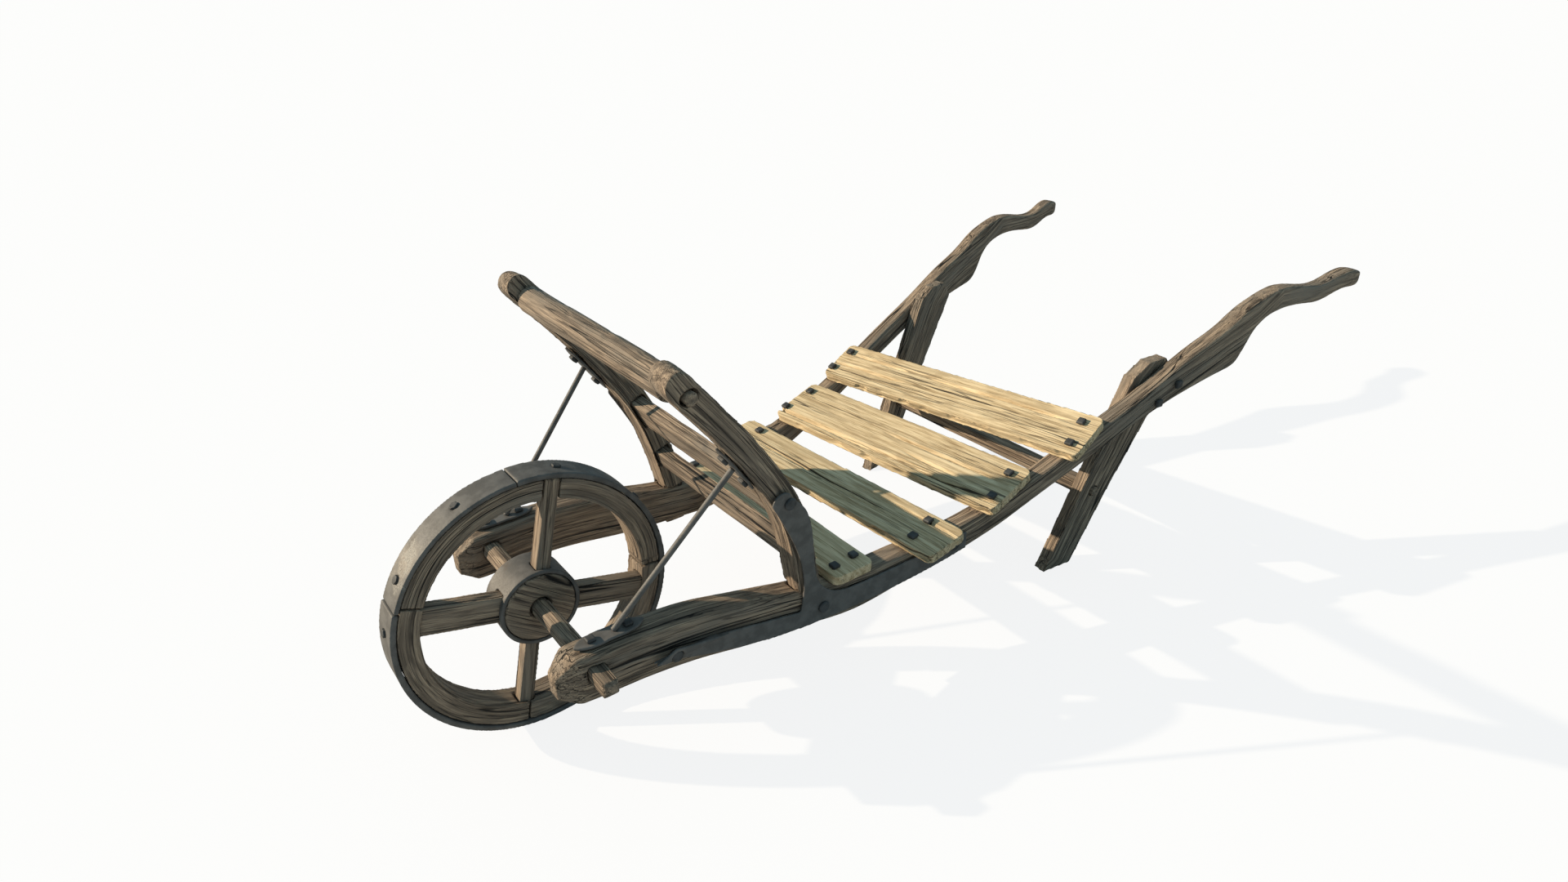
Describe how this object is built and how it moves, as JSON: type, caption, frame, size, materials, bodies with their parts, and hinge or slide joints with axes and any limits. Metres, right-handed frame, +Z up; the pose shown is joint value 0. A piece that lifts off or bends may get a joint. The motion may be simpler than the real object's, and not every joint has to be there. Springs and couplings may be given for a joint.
{
  "type": "wooden wheelbarrow",
  "caption": "Low wooden wheelbarrow with two curved side timbers, a slatted bed, a leaning front rack, two legs and one iron-shod spoked wheel.",
  "frame": {"origin": "on the ground, under the middle of the barrow's bounding box", "axes": "+X forward to the wheel, +Y to the left side of someone pushing it, +Z up"},
  "size_m": [1.815, 0.7652, 0.6225],
  "materials": {
    "frame_wood": "weathered grey-brown, cracked along the grain",
    "bed_wood": "pale, dry, worn smooth with open grain",
    "forged_iron": "dark hand-forged iron with light rust",
    "wheel_iron": "dark tyre iron, rubbed bright and rusty in places"
  },
  "bodies": {
    "frame": {"axle": "frame_wood", "deck_bolts": "forged_iron", "deck_plank_1": "bed_wood", "deck_plank_2": "bed_wood", "deck_plank_3": "bed_wood", "deck_plank_4": "bed_wood", "leg_bolts": "forged_iron", "leg_left": "frame_wood", "leg_right": "frame_wood", "leg_stretcher": "frame_wood", "rack_bar_lower": "frame_wood", "rack_bar_middle": "frame_wood", "rack_bar_top": "frame_wood", "rack_post_left": "frame_wood", "rack_post_right": "frame_wood", "side_timber_left": "frame_wood", "side_timber_right": "frame_wood", "stay_bolts": "forged_iron", "stay_foot_plate_left": "forged_iron", "stay_foot_plate_right": "forged_iron", "stay_head_plate_left": "forged_iron", "stay_head_plate_right": "forged_iron", "stay_rod_left": "forged_iron", "stay_rod_right": "forged_iron", "strap_bolts": "forged_iron", "strap_left": "forged_iron", "strap_right": "forged_iron"},
    "wheel": {"felloe_1": "frame_wood", "felloe_2": "frame_wood", "felloe_3": "frame_wood", "felloe_4": "frame_wood", "felloe_dowels": "frame_wood", "hub": "frame_wood", "hub_band": "wheel_iron", "spoke_1": "frame_wood", "spoke_2": "frame_wood", "spoke_3": "frame_wood", "spoke_4": "frame_wood", "tread_nails": "wheel_iron", "tyre_strake_long": "wheel_iron", "tyre_strake_short": "wheel_iron"}
  },
  "joints": [
    {"name": "wheel_spin", "type": "hinge", "parent": "frame", "child": "wheel", "pos_m": [0.6975, 0, 0.21], "axis": [0, 1, 0], "continuous": true}
  ]
}
